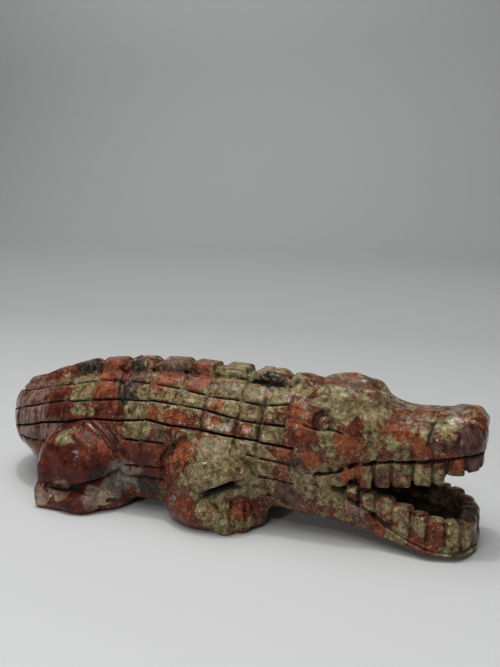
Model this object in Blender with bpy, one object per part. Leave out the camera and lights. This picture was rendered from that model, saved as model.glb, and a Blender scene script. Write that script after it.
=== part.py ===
"""Carved crocodile in one piece of polished stone, about 174 mm from its nose to the bend of its tail.

It lies with its legs folded and its mouth open, resting on four feet, the end of the tail and the tip of the lower jaw.
The big masses are lofts and ellipsoids grown into one body, the crest blocks and the teeth are added to it,
and every saw cut (the rows of plates, lips, eyes, leg folds) is then worked into the surface.
The head points along +X, the animal's left is +Y and +Z is up.
"""
import math
import bpy
import bmesh
import numpy as np
from mathutils import Matrix, Vector

# Driving sizes, in millimetres
MM = 0.001
VOXEL = 0.5
TRIANGLES = 9600
BLEND_STEPS = 14
EDGE_STEPS = 2
FLAT_UNDER = 0.25

CREST_RISE = 2.7
CREST_WIDE = 9.6
CREST_GAP = 0.8
CUT_HALF = 0.75
CUT_DEPTH = 1.3

TOOTH_GAP = 0.6
UPPER_THICK = 4.2
LOWER_THICK = 5.4
FRONT_PITCH = 4.9

# Widths of the teeth along each side, from the corner of the mouth forward
UPPER_WIDTHS = (4.3, 4.1, 4.5, 5.0, 6.0, 5.5, 3.8, 5.6)
LOWER_WIDTHS = (4.4, 4.8, 5.2, 5.7, 4.6, 5.2)

# Body and tail: x, y, centre height, half width, rise above the centre, drop below it
SPINE = np.array((
    (28, 0, 25, 15.0, 18.6, 16),
    (14, 0, 23, 16.5, 22.1, 18),
    (0, 0, 21, 17.5, 24.9, 19.5),
    (-20, 0, 21, 18.3, 25.4, 20.5),
    (-40, 0, 21, 18.0, 24.8, 20.5),
    (-55, 0, 21, 16.5, 22.9, 20.5),
    (-67, 1, 21, 15.0, 20.2, 20.5),
    (-78, 4.2, 20.5, 13.9, 17.0, 17.5),
    (-87, 11.5, 19, 12.3, 14.6, 12.8),
    (-89.5, 20, 16.5, 10.4, 12.2, 11.8),
    (-85, 28.5, 13.5, 8.8, 10.5, 11.8),
    (-75, 33, 11, 7.4, 8.5, 10.7),
    (-64, 33.5, 8.5, 6.0, 7.0, 8.2),
    (-54, 31.5, 6.5, 4.6, 5.5, 6.2),
    (-46, 28.5, 5, 3.0, 4.0, 4.7),
), float)

# Upper head: x, half width, underside, widest height, top
HEAD = np.array((
    (6, 15.5, 5, 21, 43.0),
    (18, 16.5, 8, 24, 45.0),
    (25, 16.4, 14, 27, 45.6),
    (29, 16.2, 20, 28, 45.6),
    (34, 15.7, 22.2, 29, 45.4),
    (41, 14.6, 23.5, 29.5, 44.2),
    (48, 13.4, 24.3, 30, 41.0),
    (55, 12.6, 25, 30.5, 40.0),
    (62, 12.0, 25.6, 31, 40.8),
    (68, 11.3, 26.5, 31.5, 41.8),
    (72, 9.4, 28, 32.5, 41.8),
    (74.2, 5.8, 30, 33.2, 39.2),
), float)

# Lower jaw: x, half width, underside, widest height, floor of the mouth
JAW = np.array((
    (6, 12.5, 5.5, 12, 26),
    (20, 14.2, 4.6, 12, 24),
    (27, 14.8, 3.8, 13, 19.5),
    (31, 14.8, 3.2, 13.5, 17.2),
    (38, 14.8, 2.2, 11.5, 13.6),
    (46, 15.3, 0.9, 7.8, 9.8),
    (54, 16.6, 0.2, 4.8, 6.6),
    (61, 17.2, 0, 3.0, 4.6),
    (67, 15.8, 0, 2.4, 3.8),
    (71, 12.2, 0, 2.4, 3.8),
    (73.6, 6.5, 0.6, 2.4, 3.6),
), float)

# Crest: the cuts between its blocks as x on the body, then block lengths round the tail
CREST_CUTS = (25.5, 14.5, 2, -9, -20.5, -32, -43.5, -55, -66)
TAIL_BLOCKS = (11.5, 10.5, 10, 9.5, 9, 8.5, 8, 7.5, 7)

# Rows of plates: depth, where the cut ends at the neck, then its angle round the flank at each x of ROW_X
# and at the tip of the tail
ROW_X = (20, 5, -10, -30, -50, -70, -84)
ROWS = (
    (1.0, 22, (74, 75, 76, 76.5, 77, 76, 74, 70)),
    (1.0, 17, (49, 50, 53, 59, 63, 57, 47, 42)),
    (1.0, 17, (29, 34, 39, 42.5, 41.7, 34, 20, 14)),
    (1.5, 20, (13, 20, 22, 26.5, 23, 12, -1, -6)),
    (1.0, 19.5, (-2, 8, 9, 10.7, 9, -7, -18, -24)),
    (0.9, 20.5, (-21, -9, -10, -11, -14, -25, -30, -32)),
    (0.8, 19, (-45, -25, -21, -21, -26, -36, -42, -44)),
)

# Lines along each side of the head as x and height: lips, gum of the lower jaw and both rows of tooth tips
LIP = np.array(((26, 20.6), (33.7, 22.8), (37.5, 24.8), (45, 26.3), (56.6, 27.3), (61.3, 28.3), (68, 29.8),
                (76, 31)))
GUM = np.array(((36, 14.2), (41.5, 11.7), (47.2, 8.5), (53.1, 5.3), (59.5, 3.2), (64.5, 2.7), (76, 2.6)))
UPPER_TIPS = np.array(((32, 17.6), (42, 17.8), (52, 19.2), (58, 20.2), (63, 21.9), (68, 23.6), (76, 24.6)))
LOWER_TIPS = np.array(((37, 18.5), (40, 16.8), (46, 15.2), (51.7, 13.2), (57, 11.2), (62, 10.0), (70, 9.4),
                       (76, 9.0)))

# Cuts on both sides as half width, depth, least distance from the middle, then points of x and height
SIDE_CUTS = (
    # hip and collar
    (0.9, 1.3, 4, ((-41, 46), (-42.3, 42), (-41.9, 37), (-40.8, 31), (-40, 29))),
    (0.8, 1.1, 7, ((11, 42), (8.6, 39.5), (8.2, 35), (9.0, 29))),
    (0.8, 1.0, 7, ((17.5, 45), (17, 40), (17.6, 34), (19.5, 29), (21, 22), (22.5, 15))),
    # thigh creases
    (1.1, 1.0, 12, ((-52.5, 29.8), (-46.4, 26.4), (-40.8, 21.0), (-37.8, 16.5))),
    (1.1, 0.9, 12, ((-48.5, 30.2), (-42.7, 26.6), (-37.2, 21.4), (-34.4, 17.8))),
    # upper arm against the flank, fingers, toes and the fold of the chest
    (1.3, 1.3, 12, ((-23.0, 14.5), (-22.6, 20.8), (-20.3, 24.0), (-17.0, 26.9), (-13.0, 28.6))),
    (0.9, 1.0, 14, ((-6.0, 11.6), (-3.0, 9.8), (-0.4, 7.0))),
    (0.8, 1.2, 14, ((1.6, 10.5), (1.8, 8.0), (2.4, 4.0))),
    (0.8, 1.2, 14, ((5.4, 9.8), (5.8, 7.0), (6.2, 3.0))),
    (1.0, 0.9, 12, ((4.3, 23.5), (7.6, 20.6), (9.8, 17.7), (11.4, 14.7), (12.2, 11.0))),
    # eye slit, brow and nostril
    (0.6, 0.9, 9, ((22.3, 35.9), (24.0, 35.5), (26.0, 35.0), (27.4, 34.8))),
    (0.6, 0.9, 9, ((29.6, 35.4), (31.5, 35.2), (33.2, 34.8), (34.8, 34.2))),
    (0.7, 0.9, 6, ((58.0, 32.6), (58.4, 35.4), (59.2, 38.2), (60.8, 39.8), (62.6, 40.4))),
)
# Where one form hangs over another: depth, reach of the slope below it, then points of x and height
OVERHANGS = (
    (3.6, 5.5, ((-64, 8.6), (-57.2, 8.4), (-51.7, 9.4), (-45.5, 11.0), (-40.9, 13.0), (-38.4, 15.2))),
    (4.4, 3.8, ((-8.8, 11.8), (-4.7, 13.6), (-1.0, 15.6), (2.2, 17.2), (5.2, 18.6))),
)
HIP = (-37, -67)
EYE = (28.8, 37.2)
EYE_RADIUS = 1.8


def catmull(rows, count):
    """Smooth resampling of a table of stations, evenly spaced along the first two columns."""
    pts = np.vstack((2 * rows[0] - rows[1], rows, 2 * rows[-1] - rows[-2]))
    out = []
    for i in range(1, len(pts) - 2):
        t = np.linspace(0, 1, 24, endpoint=False)[:, None]
        a, b, c, d = pts[i - 1:i + 3]
        out.append(0.5 * (2 * b + (c - a) * t + (2 * a - 5 * b + 4 * c - d) * t ** 2
                          + (3 * b - a - 3 * c + d) * t ** 3))
    dense = np.vstack(out + [rows[-1:]])
    run = np.r_[0, np.cumsum(np.hypot(*np.diff(dense[:, :2], axis=0).T))]
    even = np.linspace(0, run[-1], count)
    return np.column_stack([np.interp(even, run, dense[:, k]) for k in range(rows.shape[1])]), even


def loft(bm, rings):
    """Closed skin through rings of points with the same count."""
    loops = [[bm.verts.new(p) for p in ring] for ring in rings]
    for one, two in zip(loops, loops[1:]):
        for i in range(len(one)):
            j = (i + 1) % len(one)
            bm.faces.new((one[i], one[j], two[j], two[i]))
    bm.faces.new(loops[0][::-1])
    bm.faces.new(loops[-1])


def oval(half, rise, drop, up_power, down_power, count=48):
    """Cross-section points (across, up) round a centre, squarer where the power is larger."""
    out = []
    for k in range(count):
        a = 2 * math.pi * k / count
        c, s = math.cos(a), math.sin(a)
        p = 2 / (up_power if s >= 0 else down_power)
        out.append((half * math.copysign(abs(c) ** p, c),
                    (rise if s >= 0 else drop) * math.copysign(abs(s) ** p, s)))
    return out


def ellipsoid(bm, centre, radii, tilt=0.0, turn=0.0):
    place = (Matrix.Translation(Vector(centre)) @ Matrix.Rotation(math.radians(turn), 4, "Z")
             @ Matrix.Rotation(math.radians(tilt), 4, "Y") @ Matrix.Diagonal((*radii, 1)))
    bmesh.ops.create_uvsphere(bm, u_segments=32, v_segments=20, radius=1, matrix=place)


def block(bm, centre, size, turn=0.0, tilt=0.0, taper=1.0, round_by=0.8):
    """Rounded block turned about Z, leaning about its own Y, its top narrowed by the taper."""
    made = bmesh.ops.create_cube(bm, size=1)["verts"]
    for v in made:
        narrow = taper if v.co.z > 0 else 1
        v.co = Vector((v.co.x * size[0] * narrow, v.co.y * size[1] * narrow, v.co.z * size[2]))
    edges = list({e for v in made for e in v.link_edges})
    done = bmesh.ops.bevel(bm, geom=edges, offset=round_by, segments=2, profile=0.5, affect="EDGES")
    place = (Matrix.Translation(Vector(centre)) @ Matrix.Rotation(turn, 4, "Z")
             @ Matrix.Rotation(tilt, 4, "Y"))
    bmesh.ops.transform(bm, matrix=place, verts=done["verts"])


def one_skin(name, bm, smooth_steps):
    """Mesh with one skin round everything in the mesh, its joins eased by smoothing."""
    bmesh.ops.recalc_face_normals(bm, faces=bm.faces)
    loose = bpy.data.meshes.new(name)
    bm.to_mesh(loose)
    bm.free()
    obj = bpy.data.objects.new(name, loose)
    bpy.context.scene.collection.objects.link(obj)
    remesh = obj.modifiers.new("skin", "REMESH")
    remesh.mode = "VOXEL"
    remesh.voxel_size = VOXEL
    ease = obj.modifiers.new("ease", "SMOOTH")
    ease.factor = 0.5
    ease.iterations = smooth_steps
    skin = bpy.data.meshes.new_from_object(obj.evaluated_get(bpy.context.evaluated_depsgraph_get()))
    bpy.data.objects.remove(obj)
    bpy.data.meshes.remove(loose)
    return skin


def tooth_row(bm, table, widths, thick, inset, start, roots, tips):
    """Teeth in a U round the jaw: outer edge from the table of stations, roots and tips as heights by x."""
    along = np.linspace(start, table[-1, 0] - 0.6, 80)
    half = np.interp(along, table[:, 0], table[:, 1]) - inset
    path = np.vstack((np.column_stack((along, -half)), np.column_stack((along, half))[::-1]))
    way = np.r_[0, np.cumsum(np.hypot(*np.diff(path, axis=0).T))]
    front = way[-1] - 2 * sum(widths)
    across_front = max(1, round(front / FRONT_PITCH))
    at = 0.0
    for width in (*widths, *[front / across_front] * across_front, *widths[::-1]):
        x, y = (np.interp(at + width / 2, way, path[:, i]) for i in (0, 1))
        x0, y0, x1, y1 = (np.interp(at + step, way, path[:, i]) for step in (0, width) for i in (0, 1))
        at += width
        turn = math.atan2(y1 - y0, x1 - x0)
        inward = Vector((-math.sin(turn), math.cos(turn), 0))
        root, tip = (np.interp(x, line[:, 0], line[:, 1]) for line in (roots, tips))
        # each tooth reaches past its root into the jaw behind it
        deep = root + math.copysign(2.0, root - tip)
        centre = Vector((x, y, (deep + tip) / 2)) + inward * thick / 2
        block(bm, centre, (width - TOOTH_GAP, thick, abs(deep - tip)), turn, round_by=1.0)
        block(bm, centre + inward * 1.0, (width + 0.4, thick - 1.4, abs(deep - tip) - 1.6), turn)


def distance(points, line):
    """Distance of each point to a polyline in the same plane, and how far along it (0 to 1)."""
    best = np.full(len(points), 1e9)
    part = np.zeros(len(points))
    total = np.sum(np.hypot(*np.diff(line, axis=0).T))
    done = 0.0
    for a, b in zip(line, line[1:]):
        ab = b - a
        size = math.hypot(*ab)
        t = np.clip((points - a) @ ab / size ** 2, 0, 1)
        d = np.hypot(*(points - a - t[:, None] * ab).T)
        near = d < best
        best[near] = d[near]
        part[near] = (done + t[near] * size) / total
        done += size
    return best, part


def groove(d, half):
    """Section of a cut: 1 at its middle, 0 past its half width."""
    x = np.clip(np.abs(d) / half, 0, 1)
    return (1 - x ** 2) ** 2


for old in list(bpy.data.objects):
    bpy.data.objects.remove(old)

spine, run = catmull(SPINE, 300)
tangent = np.gradient(spine[:, :2], axis=0)
tangent /= np.linalg.norm(tangent, axis=1)[:, None]
normal = np.column_stack((tangent[:, 1], -tangent[:, 0]))

# Big masses
masses = bmesh.new()
# the body is squarer below, the tail squarer above from where it turns aside
turned = np.clip(spine[::4, 1] / 8, 0, 1) * 0.6
loft(masses, [[(c[0] + n[0] * u, c[1] + n[1] * u, c[2] + w)
               for u, w in oval(c[3], c[4], c[5], 1.9 + t, 2.6 - t)]
              for c, n, t in zip(spine[::4], normal[::4], turned)])
head = catmull(np.insert(HEAD, 1, 0, axis=1), 40)[0]
loft(masses, [[(h[0], u, h[4] + w) for u, w in oval(h[2], h[5] - h[4], h[4] - h[3], 2.6, 3.2)] for h in head])
jaw = catmull(np.insert(JAW, 1, 0, axis=1), 40)[0]
loft(masses, [[(j[0], u, j[4] + w) for u, w in oval(j[2], j[5] - j[4], j[4] - j[3], 3.5, 2.6)] for j in jaw])
for side in (-1, 1):
    # brow and nostril
    ellipsoid(masses, (34, 7.6 * side, 42.6), (11, 4.4, 4.5), 7, -5 * side)
    ellipsoid(masses, (62.4, 8.6 * side, 33.2), (5.8, 4.9, 5.8))
    # hind leg: thigh, foot, heel and toe
    ellipsoid(masses, (-55.5, 15.0 * side, 12.5), (15.8, 9.5, 14.5))
    ellipsoid(masses, (-63, 15.0 * side, 10), (6.2, 8.5, 9))
    ellipsoid(masses, (-62.5, 17.5 * side, 12), (5.6, 6.4, 7))
    block(masses, (-58.5, 16.2 * side, 4.0), (20, 18, 9.2), round_by=2.2)
    ellipsoid(masses, (-47, 12 * side, 4), (9.5, 11.5, 6), 0, 25 * side)
    ellipsoid(masses, (-53, 21 * side, 3.4), (8.5, 5.6, 5))
    # fore leg: upper arm, forearm, elbow and toes
    ellipsoid(masses, (-7.8, 14.0 * side, 17.0), (15.2, 10.5, 12.2))
    ellipsoid(masses, (-8.2, 15.0 * side, 6.0), (15.2, 9.2, 8.2))
    block(masses, (-13.5, 14.0 * side, 7), (18.5, 12, 16), round_by=5)
    ellipsoid(masses, (-0.8, 19.4 * side, 4.4), (4.4, 4.2, 5.8), 0, 20 * side)
    ellipsoid(masses, (3.6, 16.4 * side, 4.8), (3.8, 4.2, 6))
    ellipsoid(masses, (6.4, 11.5 * side, 5.4), (4.0, 4.6, 6.4))
skin = one_skin("masses", masses, BLEND_STEPS)

# Crest blocks and teeth
parts = bmesh.new()
parts.from_mesh(skin)
bpy.data.meshes.remove(skin)
cuts = [run[np.argmin(np.abs(spine[:, 0] - x) + 100 * (spine[:, 1] > 10))] for x in CREST_CUTS]
for length in TAIL_BLOCKS:
    cuts.append(cuts[-1] + length)
for one, two in zip(cuts, cuts[1:]):
    mid = (one + two) / 2
    x, y, z, half, rise = (np.interp(mid, run, spine[:, i]) for i in range(5))
    x0, y0, z0, x1, y1, z1 = (np.interp(at, run, spine[:, i] + (spine[:, 4] if i == 2 else 0))
                              for at in (one, two) for i in (0, 1, 2))
    turn = math.atan2(y1 - y0, x1 - x0)
    tilt = -math.atan2(z1 - z0, two - one)
    scale = min(1.0, 0.3 + 0.7 * half / 15)
    top = z + rise + CREST_RISE * scale * (1 - 0.6 * min(max(y / 8, 0), 1))
    block(parts, (x, y, top - 4), (two - one - CREST_GAP, CREST_WIDE * scale, 8), turn, tilt, 0.86, 1.9)
tooth_row(parts, HEAD, UPPER_WIDTHS, UPPER_THICK, 0.1, 31.0, LIP, UPPER_TIPS)
tooth_row(parts, JAW, LOWER_WIDTHS, LOWER_THICK, 0.9, 35.0, GUM, LOWER_TIPS)
skin = one_skin("crocodile", parts, EDGE_STEPS)

# Carving, as movements of the surface along its normals
count = len(skin.vertices)
points = np.empty(count * 3)
skin.vertices.foreach_get("co", points)
points = points.reshape(-1, 3)
facing = np.empty(count * 3)
skin.vertex_normals.foreach_get("vector", facing)
facing = facing.reshape(-1, 3)
nearest = np.concatenate([np.argmin(((points[i:i + 8000, None, :2] - spine[None, :, :2]) ** 2).sum(2), 1)
                          for i in range(0, count, 8000)])
offset = points[:, :2] - spine[nearest, :2]
along = run[nearest] + (offset * tangent[nearest]).sum(1)
across = (offset * normal[nearest]).sum(1)
centre, half, rise, drop = (np.interp(along, run, spine[:, i]) for i in (2, 3, 4, 5))
up = points[:, 2] - centre
reach = np.where(up > 0, rise, drop)
angle = np.arctan2(up / reach, np.abs(across) / half)
radius = np.hypot(up / reach, across / half)
metric = np.hypot(half * np.sin(angle), reach * np.cos(angle))
on_body = np.clip((1.16 - radius) / 0.06, 0, 1) * np.clip((facing[:, 2] + 0.75) / 0.3, 0, 1)
carve = np.zeros(count)
row_at = [spine[0, 0] - x for x in ROW_X] + [run[-1]]
for k, (strength, end, degrees) in enumerate(ROWS):
    wave = 0.2 * np.sin(along * 0.13 + 2.1 * k) + 0.12 * np.sin(along * 0.41 + k)
    d = (angle - np.radians(np.interp(along, row_at, degrees))) * metric + wave
    live = np.clip((along - spine[0, 0] + end) / 0.8, 0, 1) * np.clip(half / 5 - 0.8, 0, 1)
    if k > 3:
        live *= (along < spine[0, 0] - HIP[0]) | (along > spine[0, 0] - HIP[1]) & (k == 4)
    if k % 2 == 0:
        live *= np.clip(half / 2 - 4, 0, 1)
    hand = 0.8 + 0.3 * np.sin(along * 0.29 + 1.9 * k)
    carve += CUT_DEPTH * strength * hand * live * on_body * groove(d, CUT_HALF)
for k, at in enumerate(cuts[1:]):
    lean = (1.0 + 0.8 * np.sin(k * 1.7)) * np.cos(angle) * (5 if k == 0 else 1)
    carve += 0.6 * on_body * groove(along - at - lean, CUT_HALF) * np.clip((angle + 0.1) / 0.1, 0, 1)
side_plane = points[:, [0, 2]]
for half_width, depth, least, line in SIDE_CUTS:
    d, part = distance(side_plane, np.array(line, float))
    ends = np.clip(np.minimum(part, 1 - part) / 0.12 + 0.25, 0, 1)
    outward = np.clip(facing[:, 1] * np.sign(points[:, 1]) * 2, 0, 1)
    carve += depth * groove(d, half_width) * ends * outward * (np.abs(points[:, 1]) > least)
for depth, below, line in OVERHANGS:
    line = np.array(line, float)
    under = np.interp(points[:, 0], line[:, 0], line[:, 1]) - points[:, 2]
    fade = np.clip(np.minimum(points[:, 0] - line[0, 0], line[-1, 0] - points[:, 0]) / 2.5, 0, 1)
    slope = np.where(under > 0, np.clip(1 - under / below, 0, 1) ** 1.5, np.clip(1 + under / 1.2, 0, 1))
    outward = np.clip(facing[:, 1] * np.sign(points[:, 1]) * 3, 0, 1)
    carve += depth * slope * fade * outward * (np.abs(points[:, 1]) > 12)
for line, depth in ((LIP, 1.3), (GUM, 0.9)):
    outward = np.clip((facing[:, 1] * np.sign(points[:, 1]) + facing[:, 0]) * 2 - 0.2, 0, 1)
    edge = np.interp(points[:, 0], JAW[:, 0], JAW[:, 1]) - 5 if line is GUM else 5
    d = points[:, 2] - np.interp(points[:, 0], line[:, 0], line[:, 1])
    carve += depth * groove(d, 0.85) * outward * (points[:, 0] > line[0, 0]) * (
        (np.abs(points[:, 1]) > edge) | (points[:, 0] > 66))
d = np.hypot(points[:, 0] - EYE[0], points[:, 2] - EYE[1])
side_on = (np.abs(points[:, 1]) > 9)
carve -= 0.6 * np.clip(1 - (d / EYE_RADIUS) ** 2, 0, 1) * side_on
ring = np.clip(0.55 + (EYE[0] - points[:, 0] + points[:, 2] - EYE[1]) / (2 * EYE_RADIUS), 0.15, 1)
carve += 1.5 * groove(d - EYE_RADIUS - 0.6, 0.9) * ring * side_on
points -= facing * np.minimum(carve, 4.5)[:, None]
points[:, 2] = np.where(points[:, 2] < FLAT_UNDER, 0, points[:, 2])
skin.vertices.foreach_set("co", points.ravel())
skin.update()

body = bpy.data.objects.new("crocodile", skin)
bpy.context.scene.collection.objects.link(body)
less = body.modifiers.new("facets", "DECIMATE")
less.ratio = min(1.0, TRIANGLES / (2 * len(skin.polygons)))
last = bpy.data.meshes.new_from_object(body.evaluated_get(bpy.context.evaluated_depsgraph_get()))
body.modifiers.clear()
body.data = last

# Flat soles, then the origin under the middle of the piece, at real size in metres
for v in last.vertices:
    if v.co.z < FLAT_UNDER:
        v.co.z = 0
corners = np.array([v.co for v in last.vertices])
low, high = corners.min(0), corners.max(0)
last.transform(Matrix.Scale(MM, 4) @ Matrix.Translation((-(low[0] + high[0]) / 2, -(low[1] + high[1]) / 2, -low[2])))
stone = bpy.data.materials.new("jasper")
stone.use_nodes = True
stone.node_tree.nodes["Principled BSDF"].inputs["Base Color"].default_value = (0.20, 0.07, 0.04, 1)
stone.node_tree.nodes["Principled BSDF"].inputs["Roughness"].default_value = 0.2
last.materials.append(stone)
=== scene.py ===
"""A crocodile carved from one lump of polished, many-coloured jasper, lying on a pale tabletop."""
import math
import bpy
import bmesh
import numpy as np
from mathutils import Matrix, Vector


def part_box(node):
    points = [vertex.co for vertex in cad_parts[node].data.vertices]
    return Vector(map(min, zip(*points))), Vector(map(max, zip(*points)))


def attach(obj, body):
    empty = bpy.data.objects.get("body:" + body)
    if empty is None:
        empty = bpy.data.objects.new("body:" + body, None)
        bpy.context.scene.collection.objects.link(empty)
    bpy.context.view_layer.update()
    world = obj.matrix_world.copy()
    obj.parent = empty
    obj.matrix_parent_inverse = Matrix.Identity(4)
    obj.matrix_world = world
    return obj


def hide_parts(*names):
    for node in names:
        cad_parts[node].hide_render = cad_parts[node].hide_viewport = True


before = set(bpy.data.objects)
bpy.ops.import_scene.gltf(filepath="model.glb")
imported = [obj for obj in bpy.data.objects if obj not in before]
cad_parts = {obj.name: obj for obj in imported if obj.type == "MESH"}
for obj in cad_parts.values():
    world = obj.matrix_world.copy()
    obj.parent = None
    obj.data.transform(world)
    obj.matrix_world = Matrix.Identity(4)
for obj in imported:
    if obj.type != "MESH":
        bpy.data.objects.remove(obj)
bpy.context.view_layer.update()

# Trunk and tail: the carver starts from one sawn lump of jasper and grinds both out of it as one long
# rounded bar, curled at its end. Each station gives x, y, centre height, half width, rise above the centre
# and drop below it, in millimetres.
MM = 0.001
GRAIN = 0.30
SPINE = np.array((
    (28, 0, 25, 15.0, 18.6, 16),
    (14, 0, 23, 16.5, 22.1, 18),
    (0, 0, 21, 17.5, 24.9, 19.5),
    (-20, 0, 21, 18.3, 25.4, 20.5),
    (-40, 0, 21, 18.0, 24.8, 20.5),
    (-55, 0, 21, 16.5, 22.9, 20.5),
    (-67, 1, 21, 15.0, 20.2, 20.5),
    (-78, 4.2, 20.5, 13.9, 17.0, 13.2),
    (-87, 11.5, 19, 12.3, 15.2, 9.2),
    (-89.5, 20, 16.5, 10.4, 12.6, 9.4),
    (-85, 28.5, 13.5, 8.8, 10.5, 11.0),
    (-75, 33, 11, 7.4, 8.5, 10.7),
    (-64, 33.5, 8.5, 6.0, 7.0, 8.2),
    (-54, 31.5, 6.5, 4.6, 5.5, 6.2),
    (-46, 28.5, 5, 3.0, 4.0, 4.7),
), float)


def through(stations, count):
    """Smooth line through a table of stations, evenly spaced in plan, and each point's way along it."""
    pts = np.vstack((2 * stations[0] - stations[1], stations, 2 * stations[-1] - stations[-2]))
    out = []
    for i in range(1, len(pts) - 2):
        t = np.linspace(0, 1, 24, endpoint=False)[:, None]
        a, b, c, d = pts[i - 1:i + 3]
        out.append(0.5 * (2 * b + (c - a) * t + (2 * a - 5 * b + 4 * c - d) * t ** 2
                          + (3 * b - a - 3 * c + d) * t ** 3))
    dense = np.vstack(out + [stations[-1:]])
    run = np.r_[0, np.cumsum(np.hypot(*np.diff(dense[:, :2], axis=0).T))]
    even = np.linspace(0, run[-1], count)
    return np.column_stack([np.interp(even, run, dense[:, k]) for k in range(stations.shape[1])]), even


def rounded_section(half, rise, drop, up_power, down_power, count=48):
    """Points (across, up) of a section round its centre, squarer where the power is larger."""
    out = []
    for k in range(count):
        a = 2 * math.pi * k / count
        c, s = math.cos(a), math.sin(a)
        p = 2 / (up_power if s >= 0 else down_power)
        out.append((half * math.copysign(abs(c) ** p, c),
                    (rise if s >= 0 else drop) * math.copysign(abs(s) ** p, s)))
    return out


def ground_bar(bm, rings):
    """Closed bar through rings of points with the same count."""
    loops = [[bm.verts.new(p) for p in ring] for ring in rings]
    for one, two in zip(loops, loops[1:]):
        for i in range(len(one)):
            j = (i + 1) % len(one)
            bm.faces.new((one[i], one[j], two[j], two[i]))
    bm.faces.new(loops[0][::-1])
    bm.faces.new(loops[-1])


spine, run = through(SPINE, 300)
tangent = np.gradient(spine[:, :2], axis=0)
tangent /= np.linalg.norm(tangent, axis=1)[:, None]
normal = np.column_stack((tangent[:, 1], -tangent[:, 0]))
rough = bmesh.new()
ground_bar(rough, [[(c[0] + n[0] * u, c[1] + n[1] * u, c[2] + w)
                    for u, w in rounded_section(c[3], c[4], c[5], 1.9 + t, 2.6 - t)]
                   for c, n, t in zip(spine[::4], normal[::4], 0.6 * np.clip(spine[::4, 1] / 8, 0, 1))])

# Upper head: a blunt wedge of the same stone, ground flat on top of the snout, with a brow left over each
# eye and a round nostril near the tip. Each station gives x, half width, underside, widest height and top.
HEAD = np.array((
    (6, 15.5, 5, 21, 43.0),
    (18, 16.5, 8, 24, 45.0),
    (25, 16.4, 14, 27, 45.6),
    (29, 16.2, 20, 28, 45.6),
    (34, 15.7, 22.2, 29, 45.4),
    (41, 14.6, 23.5, 29.5, 44.2),
    (48, 13.4, 24.3, 30, 41.0),
    (55, 12.6, 25, 30.5, 40.0),
    (62, 12.0, 25.6, 31, 40.8),
    (68, 11.3, 26.5, 31.5, 41.8),
    (72, 9.4, 28, 32.5, 41.8),
    (74.2, 5.8, 30, 33.2, 39.2),
), float)


def lump(bm, centre, radii, tilt=0.0, turn=0.0):
    """Egg-shaped lump, leaning about its own Y and turned about Z, in degrees."""
    place = (Matrix.Translation(Vector(centre)) @ Matrix.Rotation(math.radians(turn), 4, "Z")
             @ Matrix.Rotation(math.radians(tilt), 4, "Y") @ Matrix.Diagonal((*radii, 1)))
    bmesh.ops.create_uvsphere(bm, u_segments=32, v_segments=20, radius=1, matrix=place)


head = through(np.insert(HEAD, 1, 0, axis=1), 40)[0]
ground_bar(rough, [[(h[0], u, h[4] + w)
                    for u, w in rounded_section(h[2], h[5] - h[4], h[4] - h[3], 2.6, 3.2)] for h in head])
for side in (-1, 1):
    lump(rough, (34, 7.6 * side, 42.6), (11, 4.4, 4.5), 7, -5 * side)
    lump(rough, (62.4, 8.6 * side, 33.2), (5.8, 4.9, 5.8))

# Lower jaw: the saw opens the mouth as a wedge, and the flat jaw that drops to the table is what is left
# below it. Each station gives x, half width, underside, widest height and the floor of the mouth.
JAW = np.array((
    (6, 12.5, 5.5, 12, 26),
    (20, 14.2, 4.6, 12, 24),
    (27, 14.8, 3.8, 13, 19.5),
    (31, 14.8, 3.2, 13.5, 17.2),
    (38, 14.8, 2.2, 11.5, 13.6),
    (46, 15.3, 0.9, 7.8, 9.8),
    (54, 16.6, 0.2, 4.8, 6.6),
    (61, 17.2, 0, 3.0, 4.6),
    (67, 15.8, 0, 2.4, 3.8),
    (71, 12.2, 0, 2.4, 3.8),
    (73.6, 6.5, 0.6, 2.4, 3.6),
), float)
jaw = through(np.insert(JAW, 1, 0, axis=1), 40)[0]
ground_bar(rough, [[(j[0], u, j[4] + w)
                    for u, w in rounded_section(j[2], j[5] - j[4], j[4] - j[3], 3.5, 2.6)] for j in jaw])

# Legs: folded, and left standing out of the trunk. Behind is a boulder-like thigh over a flat foot, in
# front a round upper arm curled over the forearm and its toes, all ground from the same stone.


def slab(bm, centre, size, round_by):
    """Block with rounded edges."""
    made = bmesh.ops.create_cube(bm, size=1)["verts"]
    for v in made:
        v.co = Vector((v.co.x * size[0], v.co.y * size[1], v.co.z * size[2])) + Vector(centre)
    edges = list({e for v in made for e in v.link_edges})
    bmesh.ops.bevel(bm, geom=edges, offset=round_by, segments=2, profile=0.5, affect="EDGES")


for side in (-1, 1):
    lump(rough, (-55.5, 15.0 * side, 12.5), (15.8, 9.5, 14.5))
    lump(rough, (-63, 15.0 * side, 10), (6.2, 8.5, 9))
    lump(rough, (-62.5, 17.5 * side, 12), (5.6, 6.4, 7))
    slab(rough, (-58.5, 16.2 * side, 4.0), (20, 18, 9.2), 2.2)
    slab(rough, (-62.6, 15.5 * side, 11.0), (11.6, 17, 12), 3.5)
    lump(rough, (-47, 12 * side, 4), (9.5, 11.5, 6), 0, 25 * side)
    lump(rough, (-53, 21 * side, 3.4), (8.5, 5.6, 5))
    lump(rough, (-7.8, 14.0 * side, 17.0), (15.2, 10.5, 12.2))
    lump(rough, (-8.2, 15.0 * side, 6.0), (15.2, 9.2, 8.2))
    slab(rough, (-13.5, 14.0 * side, 7), (18.5, 12, 16), 5)
    lump(rough, (-0.8, 19.4 * side, 4.4), (4.4, 4.2, 5.8), 0, 20 * side)
    lump(rough, (3.6, 16.4 * side, 4.8), (3.8, 4.2, 6))
    lump(rough, (6.4, 11.5 * side, 5.4), (4.0, 4.6, 6.4))


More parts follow.
